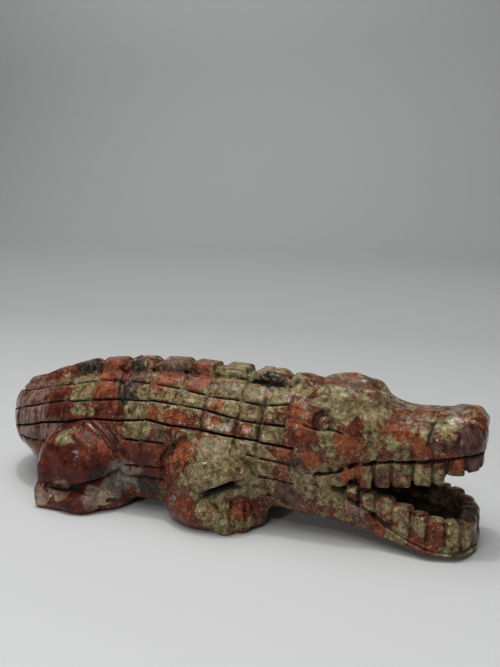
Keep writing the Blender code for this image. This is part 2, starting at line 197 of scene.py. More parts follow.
def one_skin(name, bm, grain, easing):
    """One closed skin round everything in the mesh, its joins eased as the grinding wheel does."""
    bmesh.ops.recalc_face_normals(bm, faces=bm.faces)
    loose = bpy.data.meshes.new(name)
    bm.to_mesh(loose)
    bm.free()
    made = bpy.data.objects.new(name, loose)
    bpy.context.scene.collection.objects.link(made)
    skin = made.modifiers.new("skin", "REMESH")
    skin.mode = "VOXEL"
    skin.voxel_size = grain
    ease = made.modifiers.new("ease", "SMOOTH")
    ease.factor = 0.5
    ease.iterations = easing
    done = bpy.data.meshes.new_from_object(made.evaluated_get(bpy.context.evaluated_depsgraph_get()))
    bpy.data.objects.remove(made)
    bpy.data.meshes.remove(loose)
    return done


ground = one_skin("ground stone", rough, 0.5, 14)

# Crest: a row of square blocks down the middle of the back, left proud of the trunk by saw cuts between
# them and chamfered by hand. They get shorter and narrower round the tail.
CREST_RISE = 2.7
CREST_WIDE = 9.6
CREST_DEEP = 8
CREST_KERF = 0.3
CREST_CUTS = (25.5, 14.5, 2, -9, -20.5, -32, -43.5, -55, -66)
TAIL_BLOCKS = (11.5, 10.5, 10, 9.5, 9, 8.5, 8, 7.5, 7)


def sawn_blocks():
    """Node tree that sets a rounded, chamfered block on each point, at the point's own size and turning."""
    tree = bpy.data.node_groups.new("sawn blocks", "GeometryNodeTree")
    sockets = {}
    for label, kind, value in (("Points", "Geometry", None), ("Squareness", "Float", 6.0),
                               ("Shoulder", "Float", 0.6), ("Ends", "Float", 0.3), ("Sides", "Float", 0.1),
                               ("Unevenness", "Float", 0.05), ("Seed", "Int", 0),
                               ("Stone", "Material", None)):
        made = tree.interface.new_socket(label, in_out="INPUT", socket_type="NodeSocket" + kind)
        if value is not None:
            made.default_value = value
        sockets[label] = made.identifier
    tree.interface.new_socket("Blocks", in_out="OUTPUT", socket_type="NodeSocketGeometry")
    add, link = tree.nodes.new, tree.links.new
    given, out = add("NodeGroupInput"), add("NodeGroupOutput")

    def put(kind, operation, *values):
        node = add(kind)
        node.operation = operation
        for socket, value in zip(node.inputs, values):
            if isinstance(value, bpy.types.NodeSocket):
                link(value, socket)
            else:
                socket.default_value = value
        return node.outputs[0]

    def maths(operation, *values):
        return put("ShaderNodeMath", operation, *values)

    def vector(operation, *values):
        return put("ShaderNodeVectorMath", operation, *values)

    cube = add("GeometryNodeMeshCube")
    for label in ("Vertices X", "Vertices Y", "Vertices Z"):
        cube.inputs[label].default_value = 13
    where = add("GeometryNodeInputPosition").outputs[0]
    apart = add("ShaderNodeSeparateXYZ")
    link(vector("ABSOLUTE", vector("ADD", where, where)), apart.inputs[0])
    powers = [maths("POWER", axis, given.outputs["Squareness"]) for axis in apart.outputs]
    size = maths("POWER", maths("ADD", maths("ADD", powers[0], powers[1]), powers[2]),
                 maths("DIVIDE", 1.0, given.outputs["Squareness"]))
    inverse = add("ShaderNodeVectorMath")
    inverse.operation = "SCALE"
    link(where, inverse.inputs[0])
    link(maths("DIVIDE", 1.0, size), inverse.inputs["Scale"])
    rounded = add("GeometryNodeSetPosition")
    link(cube.outputs["Mesh"], rounded.inputs["Geometry"])
    link(inverse.outputs[0], rounded.inputs["Position"])
    level = add("ShaderNodeSeparateXYZ")
    link(where, level.inputs[0])
    above = add("ShaderNodeMapRange")
    link(level.outputs["Z"], above.inputs["Value"])
    link(maths("SUBTRACT", given.outputs["Shoulder"], 0.5), above.inputs["From Min"])
    above.inputs["From Max"].default_value = 0.5
    narrow = add("ShaderNodeCombineXYZ")
    for axis, label in (("X", "Ends"), ("Y", "Sides")):
        taper = maths("MULTIPLY", above.outputs[0], given.outputs[label])
        link(maths("SUBTRACT", 1.0, taper), narrow.inputs[axis])
    narrow.inputs["Z"].default_value = 1
    chamfered = add("GeometryNodeSetPosition")
    link(rounded.outputs[0], chamfered.inputs["Geometry"])
    link(vector("MULTIPLY", where, narrow.outputs[0]), chamfered.inputs["Position"])

    chance = []
    for step in (0, 1):
        any_value = add("FunctionNodeRandomValue")
        any_value.data_type = "FLOAT_VECTOR"
        any_value.inputs["Min"].default_value = (-1, -1, -1)
        link(maths("ADD", given.outputs["Seed"], step), any_value.inputs["Seed"])
        scaled = add("ShaderNodeVectorMath")
        scaled.operation = "SCALE"
        link(any_value.outputs["Value"], scaled.inputs[0])
        link(given.outputs["Unevenness"], scaled.inputs["Scale"])
        chance.append(scaled.outputs[0])
    own = {}
    for label in ("size", "turning"):
        own[label] = add("GeometryNodeInputNamedAttribute")
        own[label].data_type = "FLOAT_VECTOR"
        own[label].inputs["Name"].default_value = label
    own_size, own_turning = own["size"].outputs["Attribute"], own["turning"].outputs["Attribute"]
    grow = vector("MULTIPLY_ADD", own_size, chance[0], own_size)
    turned = vector("ADD", own_turning, chance[1])
    spin = add("FunctionNodeEulerToRotation")
    link(turned, spin.inputs[0])
    place = add("GeometryNodeInstanceOnPoints")
    link(given.outputs["Points"], place.inputs["Points"])
    link(chamfered.outputs[0], place.inputs["Instance"])
    link(spin.outputs[0], place.inputs["Rotation"])
    link(grow, place.inputs["Scale"])
    real = add("GeometryNodeRealizeInstances")
    link(place.outputs[0], real.inputs[0])
    finish = add("GeometryNodeSetMaterial")
    link(real.outputs[0], finish.inputs["Geometry"])
    link(given.outputs["Stone"], finish.inputs["Material"])
    link(finish.outputs[0], out.inputs[0])
    return tree, sockets


def set_out(bm, name, blocks, **values):
    """Adds one block for each (place, size, turning) to the mesh."""
    spots = bpy.data.meshes.new(name)
    spots.from_pydata([b[0] for b in blocks], [], [])
    for label, which in (("size", 1), ("turning", 2)):
        spots.attributes.new(label, "FLOAT_VECTOR", "POINT").data.foreach_set(
            "vector", np.array([b[which] for b in blocks], float).ravel())
    made = bpy.data.objects.new(name, spots)
    bpy.context.scene.collection.objects.link(made)
    nodes = made.modifiers.new("blocks", "NODES")
    nodes.node_group = block_tree
    for label, value in values.items():
        nodes[block_sockets[label]] = value
    nodes[block_sockets["Stone"]] = jasper
    done = bpy.data.meshes.new_from_object(made.evaluated_get(bpy.context.evaluated_depsgraph_get()))
    bm.from_mesh(done)
    bpy.data.objects.remove(made)
    for used in (done, spots):
        bpy.data.meshes.remove(used)


jasper = bpy.data.materials.new("polished jasper")
block_tree, block_sockets = sawn_blocks()
cut_stone = bmesh.new()
cut_stone.from_mesh(ground)
bpy.data.meshes.remove(ground)
cuts = [run[np.argmin(np.abs(spine[:, 0] - x) + 100 * (spine[:, 1] > 10))] for x in CREST_CUTS]
for block in TAIL_BLOCKS:
    cuts.append(cuts[-1] + block)
back_crest, tail_crest = [], []
for k, (one, two) in enumerate(zip(cuts, cuts[1:])):
    mid = (one + two) / 2
    x, y, z, half, rise = (np.interp(mid, run, spine[:, i]) for i in range(5))
    ends = []
    for at in (one, two):
        out = 3.5 * min(max(np.interp(at, run, spine[:, 1]) / 10, 0), 1)
        ends.append([np.interp(at, run, spine[:, i]) - out * np.interp(at, run, normal[:, i])
                     for i in (0, 1)]
                    + [np.interp(at, run, spine[:, 2] + spine[:, 4] * (1 - 0.02 * out))])
    (x0, y0, z0), (x1, y1, z1) = ends
    less = min(1.0, 0.3 + 0.7 * half / 15)
    chord = math.hypot(x1 - x0, y1 - y0)
    proud = CREST_RISE * less * (1 - 0.25 * min(max(y / 8, 0), 1))
    on_back = k < len(CREST_CUTS) - 1
    (back_crest if on_back else tail_crest).append((
        ((x0 + x1) / 2, (y0 + y1) / 2, (z0 + z1) / 2 + proud - CREST_DEEP / 2),
        (chord - CREST_KERF, CREST_WIDE * less, CREST_DEEP),
        (0, -math.atan2(z1 - z0, chord), math.atan2(y1 - y0, x1 - x0))))
set_out(cut_stone, "crest", back_crest, Squareness=14.0, Shoulder=0.78, Ends=0.32, Sides=0.16,
        Unevenness=0.03, Seed=3)
set_out(cut_stone, "tail crest", tail_crest, Squareness=6.0, Shoulder=0.75, Ends=0.2, Sides=0.3,
        Unevenness=0.02, Seed=4)

# Teeth: two rows of small square blocks of the same stone along the jaws, parted by short upright cuts of
# the wheel. Each has rounded corners and is rooted in a low band that joins it to its neighbours.
UPPER_WIDTHS = (4.5, 5.0, 6.0, 5.5, 3.8, 5.6)
LOWER_WIDTHS = (4.4, 4.8, 5.2, 5.7, 4.6, 5.2)
TOOTH_GAP = 0.2
UPPER_START, UPPER_THICK, UPPER_INSET = 39.2, 4.2, 0.1
LOWER_START, LOWER_THICK, LOWER_INSET = 35.0, 5.4, 0.9
FRONT_PITCH = 4.9
LIP = np.array(((26, 20.6), (33.7, 22.8), (37.5, 24.8), (45, 26.3), (56.6, 27.3), (61.3, 28.3), (68, 29.8),
                (76, 31)))
GUM = np.array(((36, 14.2), (41.5, 11.7), (47.2, 8.5), (53.1, 5.3), (59.5, 3.2), (64.5, 2.7), (76, 2.6)))
UPPER_TIPS = np.array(((32, 17.6), (42, 17.8), (52, 19.2), (58, 20.2), (63, 22.3), (68, 24.6), (76, 26.0)))
LOWER_TIPS = np.array(((37, 18.0), (40, 16.8), (46, 15.6), (51.7, 14.2), (57, 12.9), (62, 12.2), (67, 11.4),
                       (71, 10.2), (76, 9.2)))


def tooth_row(table, widths, thick, inset, start, roots, tips):
    """Teeth in a U round a jaw, the band that joins them, and the place and turning of each cut between."""
    along = np.linspace(start, table[-1, 0] - 0.6, 80)
    half = np.interp(along, table[:, 0], table[:, 1]) - inset
    path = np.vstack((np.column_stack((along, -half)), np.column_stack((along, half))[::-1]))
    way = np.r_[0, np.cumsum(np.hypot(*np.diff(path, axis=0).T))]
    front = way[-1] - 2 * sum(widths)
    across_front = max(1, round(front / FRONT_PITCH))
    at = 0.0
    teeth, band, gaps = [], [], []
    for width in (*widths, *[front / across_front] * across_front, *widths[::-1]):
        x, y = (np.interp(at + width / 2, way, path[:, i]) for i in (0, 1))
        x0, y0, x1, y1 = (np.interp(at + step, way, path[:, i]) for step in (0, width) for i in (0, 1))
        at += width
        turn = math.atan2(y1 - y0, x1 - x0)
        gaps.append((x1, y1, turn))
        inward = np.array((-math.sin(turn), math.cos(turn), 0))
        root, tip = (np.interp(x, line[:, 0], line[:, 1]) for line in (roots, tips))
        deep = root + math.copysign(2.0, root - tip)
        centre = np.array((x, y, (deep + tip) / 2)) + inward * thick / 2
        teeth.append((centre, (width - TOOTH_GAP, abs(deep - tip), thick), (math.pi / 2, 0, turn)))
        band.append((centre + inward, (width + 0.4, thick - 1.8, abs(deep - tip) - 1.8), (0, 0, turn)))
    return teeth, band, gaps[:-1]


upper_row = tooth_row(HEAD, UPPER_WIDTHS, UPPER_THICK, UPPER_INSET, UPPER_START, LIP, UPPER_TIPS)
lower_row = tooth_row(JAW, LOWER_WIDTHS, LOWER_THICK, LOWER_INSET, LOWER_START, GUM, LOWER_TIPS)
for name, (teeth, root_band, _) in (("upper teeth", upper_row), ("lower teeth", lower_row)):
    set_out(cut_stone, name, teeth, Squareness=5.5, Shoulder=0.7, Ends=0.12, Sides=0.1,
            Unevenness=0.04, Seed=8)
    set_out(cut_stone, name + " band", root_band, Squareness=12.0, Shoulder=0.9, Ends=0.0, Sides=0.1,
            Unevenness=0.0, Seed=1)
# The corners of the mouth are left closed, with a rounded lump just behind the first tooth
for side in (-1, 1):
    lump(cut_stone, (29.4, 13.0 * side, 20.0), (3.6, 2.6, 3.2))
    lump(cut_stone, (33.2, 12.8 * side, 20.4), (3.2, 2.4, 3.2))
    lump(cut_stone, (36.9, 12.4 * side, 22.3), (2.6, 3.0, 2.4))
carved = one_skin("crocodile stone", cut_stone, GRAIN, 3)

# Carved lines: thin wheels cut the rows of plates, the lips, the eyes and the folds of the legs into the
# surface. Each plate row is a chain of short dashes, deepest in its middle.
CUT_HALF = 0.48
CUT_DEPTH = 1.35
CROSS_HALF = 0.75
CROSS_DEPTH = 0.6
# Each row of plates: strength, the x where it begins, and its angles up the flank in degrees at the
# stations of ROW_X
ROW_X = (20, 5, -10, -30, -50, -70, -84)
ROWS = (
    (1.0, 22, (74, 75, 76, 76.5, 77, 76, 74, 70)),
    (1.0, 17, (49, 50, 53, 59, 63, 57, 47, 42)),
    (1.0, 17, (29, 34, 39, 42.5, 41.7, 34, 20, 14)),
    (1.5, 20, (13, 20, 22, 26.5, 23, 12, -1, -6)),
    (1.0, 19.5, (-2, 8, 9, 10.7, 9, -7, -18, -24)),
    (0.9, 20.5, (-21, -9, -10, -11, -14, -25, -30, -32)),
    (0.8, 19, (-45, -25, -21, -21, -26, -36, -42, -44)),
)
CROSS_X = (8.4, 1.2, -10, -19.2, -30.5, -40, -52.3, -61, -70.5)
# Cuts seen from the side: half width, depth, least distance from the middle plane, then points of x and
# height. They are the hip, two at the neck, the collar, two creases of the thigh, the back of the arm, the
# forearm, two between the toes, the front of the arm, the eye's slit in two parts, and the nostril in two.
SIDE_CUTS = (
    (1.3, 1.3, 3, ((-43, 46), (-42.2, 42.5), (-40.6, 38.5), (-39.2, 34.5), (-38.6, 31), (-38.8, 27))),
    (1.3, 0.9, 7, ((10, 42.5), (8.7, 40), (8.4, 36.5), (8.6, 32), (8.4, 29))),
    (1.0, 0.5, 7, ((0.0, 41), (0.4, 38), (1.2, 35), (1.8, 32))),
    (0.9, 0.4, 7, ((17.5, 45), (17, 40), (17.6, 34), (19.5, 29), (21, 22), (22.5, 15))),
    (1.1, 1.0, 12, ((-52.5, 29.8), (-46.4, 26.4), (-40.8, 21.0), (-37.8, 16.5))),
    (1.1, 0.9, 12, ((-48.5, 30.2), (-42.7, 26.6), (-37.2, 21.4), (-34.4, 17.8))),
    (1.3, 1.3, 12, ((-23.0, 14.5), (-22.6, 20.8), (-20.3, 24.0), (-17.0, 26.9), (-13.0, 28.6))),
    (0.8, 1.0, 14, ((-6.0, 11.6), (-3.0, 9.8), (-0.4, 7.0))),
    (0.7, 1.2, 14, ((1.6, 10.5), (1.8, 8.0), (2.4, 4.0))),
    (0.7, 1.2, 14, ((5.4, 9.8), (5.8, 7.0), (6.2, 3.0))),
    (1.0, 0.9, 12, ((4.3, 23.5), (7.6, 20.6), (9.8, 17.7), (11.4, 14.7), (12.2, 11.0))),
    (0.45, 0.9, 9, ((22.3, 35.9), (24.0, 35.5), (26.0, 35.0), (27.4, 34.8))),
    (0.45, 0.9, 9, ((29.6, 35.4), (31.5, 35.2), (33.2, 34.8), (34.8, 34.2))),
    (0.6, 0.9, 4, ((58.2, 32.0), (58.4, 35.4), (59.2, 38.2), (60.8, 39.8), (63.2, 40.6))),
    (0.5, 0.35, 6, ((66.6, 36.5), (67.2, 34.4), (66.4, 32.2), (64.8, 30.6))),
)
# Where one form hangs over another: depth, reach of the slope below, thickness of the painted shade in the
# gap, then points of x and height
OVERHANGS = (
    (3.6, 5.5, 1.3, ((-64, 8.6), (-57.2, 8.4), (-51.7, 9.4), (-45.5, 11.0), (-40.9, 13.0), (-38.4, 15.2))),
    (5.0, 4.4, 3.3, ((-8.8, 12.2), (-3.3, 14.9), (1.9, 17.2), (3.7, 17.2), (5.5, 16.4))),
)
HIP = (-37, -67)
SHOULDER = (-22.5, 5.2)
COLLAR = 18
EYE = (28.8, 37.2)
EYE_RADIUS = 1.8
EYE_RISE = 0.8
BROW_HOLLOW = (37.5, -6.0, 46.0)
DEEPEST = 5


def from_line(points, line):
    """Distance of each point to a polyline in the same plane, and how far along it (0 to 1)."""
    best = np.full(len(points), 1e9)
    part = np.zeros(len(points))
    total = np.sum(np.hypot(*np.diff(line, axis=0).T))
    done = 0.0
    for a, b in zip(line, line[1:]):
        ab = b - a
        size = math.hypot(*ab)
        t = np.clip((points - a) @ ab / size ** 2, 0, 1)
        d = np.hypot(*(points - a - t[:, None] * ab).T)
        near = d < best
        best[near] = d[near]
        part[near] = (done + t[near] * size) / total
        done += size
    return best, part


def groove(d, half):
    """Section of a cut: 1 at its middle, 0 past its half width."""
    x = np.clip(np.abs(d) / half, 0, 1)
    return (1 - x ** 3) ** 2


def vectors(owner, kind):
    """A vector layer of the mesh as an array."""
    flat = np.empty(len(owner) * 3)
    owner.foreach_get(kind, flat)
    return flat.reshape(-1, 3)


points = vectors(carved.vertices, "co")
facing = vectors(carved.vertex_normals, "vector")
nearest = np.concatenate([np.argmin(((points[i:i + 8000, None, :2] - spine[None, :, :2]) ** 2).sum(2), 1)
                          for i in range(0, len(points), 8000)])
offset = points[:, :2] - spine[nearest, :2]
along = run[nearest] + (offset * tangent[nearest]).sum(1)
across = (offset * normal[nearest]).sum(1)
centre, half, rise, drop = (np.interp(along, run, spine[:, i]) for i in (2, 3, 4, 5))
up = points[:, 2] - centre
reach = np.where(up > 0, rise, drop)
angle = np.arctan2(up / reach, np.abs(across) / half)
radius = np.hypot(up / reach, across / half)
metric = np.hypot(half * np.sin(angle), reach * np.cos(angle))
on_body = np.clip((1.16 - radius) / 0.06, 0, 1) * np.clip((facing[:, 2] + 0.75) / 0.3, 0, 1)
row_at = [spine[0, 0] - x for x in ROW_X] + [run[-1]]
row_angles = [np.radians(np.interp(along, row_at, degrees)) for _, _, degrees in ROWS]
band = sum((angle < row).astype(int) for row in row_angles)
edges = [-20.0, 2.5] + [spine[0, 0] - x for x in CROSS_X]
while edges[-1] < run[-1]:
    edges.append(edges[-1] + 10)
edges = np.array(edges)
slant = 0.35 * np.sin(5.1 * band) * np.cos(angle)
plate = np.clip(np.searchsorted(edges, along - slant) - 1, 0, len(edges) - 2)
length = edges[plate + 1] - edges[plate]
within = along - slant - edges[plate]
from_cross = np.minimum(within, length - within)
from_row = np.full(len(points), 9.0)
rows_cut = np.zeros(len(points))
for k, (strength, end, degrees) in enumerate(ROWS):
    stray = 0.30 * np.sin(12.9 * k + 7.3 * plate)
    turned = 0.5 * np.sin(4.1 * k + 9.7 * plate) * (within / length - 0.5)
    wave = 0.15 * np.sin(along * 0.13 + 2.1 * k)
    d = (angle - row_angles[k]) * metric + (stray + turned) + wave
    live = np.clip((along - spine[0, 0] + end) / 0.8, 0, 1) * np.clip(half / 5 - 0.8, 0, 1)
    if k > 3:
        live *= (along < spine[0, 0] - HIP[0]) | (along > spine[0, 0] - HIP[1]) & (k == 4)
        live *= (points[:, 0] < SHOULDER[0]) | (points[:, 0] > SHOULDER[1] + 3 * (k > 4))
    if k % 2 == 0:
        live *= np.clip(half / 2 - 4, 0, 1)
    touch = np.clip((from_cross - 0.2 - 0.4 * np.sin(3.3 * k + 5.9 * plate)) / 1.6, 0, 1)
    touch = (0.65 if k == 3 else 0.12) + (0.35 if k == 3 else 0.88) * touch
    hand = 0.9 + 0.2 * np.sin(along * 0.29 + 1.9 * k)
    if k == 0:
        fainter = np.clip(0.3 + (spine[0, 0] + 48 - along) / 16, 0.3, 0.8)
        live *= np.clip((1.04 - radius) / 0.03, 0, 1) * fainter
    made = CUT_DEPTH * strength * hand * touch * live * on_body * groove(d, CUT_HALF)
    rows_cut = np.maximum(rows_cut, made)
    from_row = np.where(live > 0.5, np.minimum(from_row, np.abs(d)), from_row)
above = np.clip((angle + 0.1) / 0.1, 0, 1)
behind_collar = along > spine[0, 0] - COLLAR
cross = on_body * above * behind_collar * groove(from_cross, CROSS_HALF)
pillow = np.clip(np.minimum(from_row, from_cross + 0.3) / 1.7, 0, 1)
pillow = on_body * above * behind_collar * (1 - pillow) ** 2
carve = rows_cut + CROSS_DEPTH * cross + 0.3 * pillow
# lines: how dark each point is painted, painted shade in the cuts, gaps and folds, with some grime in the
# narrow cuts
lines = rows_cut + 0.42 * cross
side_plane = points[:, [0, 2]]
for half_width, depth, least, line in SIDE_CUTS:
    d, part = from_line(side_plane, np.array(line, float))
    ends = np.clip(np.minimum(part, 1 - part) / 0.12 + 0.25, 0, 1)
    outward = np.clip(facing[:, 1] * np.sign(points[:, 1]) * 2, 0, 1)
    made = depth * groove(d, half_width) * ends * outward * (np.abs(points[:, 1]) > least)
    carve += made
    lines += made * (half_width < 0.65) + 0.35 * made * (half_width > 0.65)
for depth, below, shade, line in OVERHANGS:
    line = np.array(line, float)
    under = np.interp(points[:, 0], line[:, 0], line[:, 1]) - points[:, 2]
    fade = np.clip(np.minimum((points[:, 0] - line[0, 0]) / 4, (line[-1, 0] - points[:, 0]) / 2.5), 0, 1)
    outer = np.clip(facing[:, 1] * np.sign(points[:, 1]) * 3, 0, 1) * (np.abs(points[:, 1]) > 12)
    carve += depth * fade * outer * np.where(under > 0, np.clip(1 - under / below, 0, 1) ** 1.5,
                                             np.clip(1 + under / 0.7, 0, 1))
    # Painted shade along the gap under each overhang, darkened later through the cut attribute
    from_middle = np.abs(under - 0.5 * shade) / (0.5 * shade * fade + 0.01)
    lines += np.clip(1.3 - from_middle, 0, 0.9) * (outer > 0.2)
for line, depth in ((LIP, 1.3), (GUM, 0.9)):
    outward = np.clip((facing[:, 1] * np.sign(points[:, 1]) + facing[:, 0]) * 2 - 0.2, 0, 1)
    edge = np.interp(points[:, 0], JAW[:, 0], JAW[:, 1]) - 5 if line is GUM else 5
    d = points[:, 2] - np.interp(points[:, 0], line[:, 0], line[:, 1])
    made = depth * groove(d, 0.75) * outward * (points[:, 0] > line[0, 0]) * (
        (np.abs(points[:, 1]) > edge) | (points[:, 0] > 66))
    carve += made
    lines += 0.8 * made
# Cuts between the teeth, painted dark as shade in the gaps
for (_, _, gaps), roots, tips, thick, wide in ((upper_row, LIP, UPPER_TIPS, UPPER_THICK, 0.55),
                                               (lower_row, GUM, LOWER_TIPS, LOWER_THICK, 0.42)):
    root, tip = (np.interp(points[:, 0], line[:, 0], line[:, 1]) for line in (roots, tips))
    between = np.clip(1.0 + (np.abs(root - tip) / 2 - np.abs(points[:, 2] - (root + tip) / 2)) / 0.8, 0, 1)
    for x, y, turn in gaps:
        away = points[:, :2] - (x, y)
        aside, deep = away @ (math.cos(turn), math.sin(turn)), away @ (-math.sin(turn), math.cos(turn))
        firm = 0.8 + 0.3 * math.sin(9.7 * x + y)
        made = between * groove(aside, wide) * (deep > -1.6) * (deep < thick + 0.8) * firm
        carve += 1.1 * wide * made
        lines += wide * made
d = np.hypot(points[:, 0] - EYE[0], points[:, 2] - EYE[1])
side_on = np.abs(points[:, 1]) > 9
carve -= EYE_RISE * np.sqrt(np.clip(1 - (d / EYE_RADIUS) ** 2, 0, 1)) * side_on
ring = 1.3 * (EYE[0] - points[:, 0]) + 0.7 * (points[:, 2] - EYE[1])
ring = np.clip(0.5 + ring / (2 * EYE_RADIUS), 0.1, 1)
recess = 1.25 * groove(d - EYE_RADIUS - 1.1, 1.1) * ring ** 2
socket = (0.8 * groove(d - EYE_RADIUS - 0.3, 0.5) + recess) * side_on
carve += socket
# The socket is painted darker: painted shade in the recess round the eye
lines += 0.5 * socket
carve += 1.1 * groove(np.linalg.norm(points - BROW_HOLLOW, axis=1), 3.4)
carve = np.minimum(carve, DEEPEST)

# Hand grinding: the polished surface isn't true. The wheel leaves it gently uneven, a fifth of a millimetre
# or so, which is what breaks up the reflections.


def uneven(points, size, seed):
    """Smooth random height over the points, about -1 to 1, in waves of roughly this size."""
    chance = np.random.default_rng(seed)
    total = np.zeros(len(points))
    for _ in range(14):
        way = chance.normal(size=3)
        way *= 2 * math.pi / (size * chance.uniform(0.7, 1.6) * np.linalg.norm(way))
        total += np.sin(points @ way + chance.uniform(0, 2 * math.pi))
    return total / 3.2


on_head = np.clip((points[:, 0] - 10) / 6, 0, 1) * np.clip((points[:, 2] - 30) / 5, 0, 1)
rise_by = 0.14 * uneven(points, 9, 5) + (0.05 + 0.11 * on_head) * uneven(points, 3.5, 6) - carve
points += facing * rise_by[:, None]
points[:, 2] = np.where(points[:, 2] < 0.25, 0, points[:, 2])
carved.vertices.foreach_set("co", points.ravel())
# Inside of the mouth painted dark: painted shade in the mouth, carried with the cuts in the cut attribute
inside = (np.interp(points[:, 0], JAW[:, 0], JAW[:, 1]) - np.abs(points[:, 1]) - 4) / 2
floor_at = np.interp(points[:, 0], JAW[:, 0], JAW[:, 4]) - 1.5
roof_at = np.interp(points[:, 0], HEAD[:, 0], HEAD[:, 2]) + 1.5
mouth = np.clip(inside, 0, 1) * (points[:, 0] > 29) * (points[:, 2] > floor_at) * (points[:, 2] < roof_at)
lines = np.maximum(lines, 0.64 * mouth)
carved.attributes.new("cut", "FLOAT", "POINT").data.foreach_set("value", np.clip(lines, 0, 3))
stone = bpy.data.objects.new("crocodile_stone", carved)
bpy.context.scene.collection.objects.link(stone)
fewer = stone.modifiers.new("fewer faces", "DECIMATE")
TRIANGLES = 192000
fewer.ratio = min(1.0, TRIANGLES / (2 * len(carved.polygons)))
finished = bpy.data.meshes.new_from_object(stone.evaluated_get(bpy.context.evaluated_depsgraph_get()))
stone.modifiers.clear()
stone.data = finished
bpy.data.meshes.remove(carved)
points = vectors(finished.vertices, "co")
points[:, 2] = np.where(points[:, 2] < 0.25, 0, points[:, 2])

